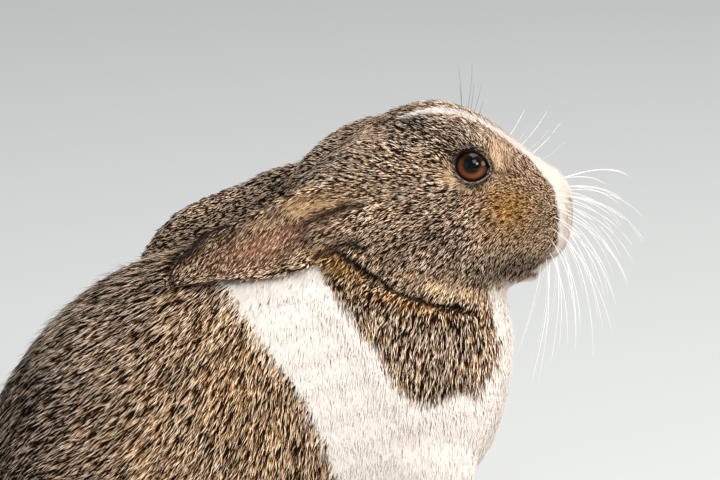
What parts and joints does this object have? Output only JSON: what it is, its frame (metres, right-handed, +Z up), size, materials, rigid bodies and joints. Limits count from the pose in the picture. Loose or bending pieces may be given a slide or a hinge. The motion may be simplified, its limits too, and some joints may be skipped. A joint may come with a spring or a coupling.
{
  "type": "rabbit",
  "caption": "Life-size domestic rabbit sitting alert on its feet, ears laid back, with a brown ticked coat, white blaze, collar and chest.",
  "frame": {"origin": "middle of the bounding box, on the floor under the soles", "axes": "+X from the rabbit's tail to its nose, +Y to the rabbit's left, +Z up"},
  "size_m": [0.3236, 0.1404, 0.2491],
  "materials": {
    "coat": "short ticked fur, soft and matte",
    "white_coat": "fine smooth white fur",
    "eye": "wet gloss over a brown iris and black pupil",
    "whisker": "stiff pale hair with a slight sheen",
    "claw": "smooth horn with a satin sheen"
  },
  "bodies": {
    "root": {"head": "coat", "neck": "white_coat", "trunk": "coat", "tail": "coat", "ear_left": "coat", "ear_right": "coat", "eye_left": "eye", "eye_right": "eye", "thigh_left": "coat", "thigh_right": "coat", "hindfoot_left": "white_coat", "hindfoot_right": "white_coat", "foreleg_left": "white_coat", "foreleg_right": "white_coat", "forepaw_left": "white_coat", "forepaw_right": "white_coat", "whisker_high_left": "whisker", "whisker_high_right": "whisker", "whisker_middle_left": "whisker", "whisker_middle_right": "whisker", "whisker_low_left": "whisker", "whisker_low_right": "whisker"}
  },
  "joints": []
}
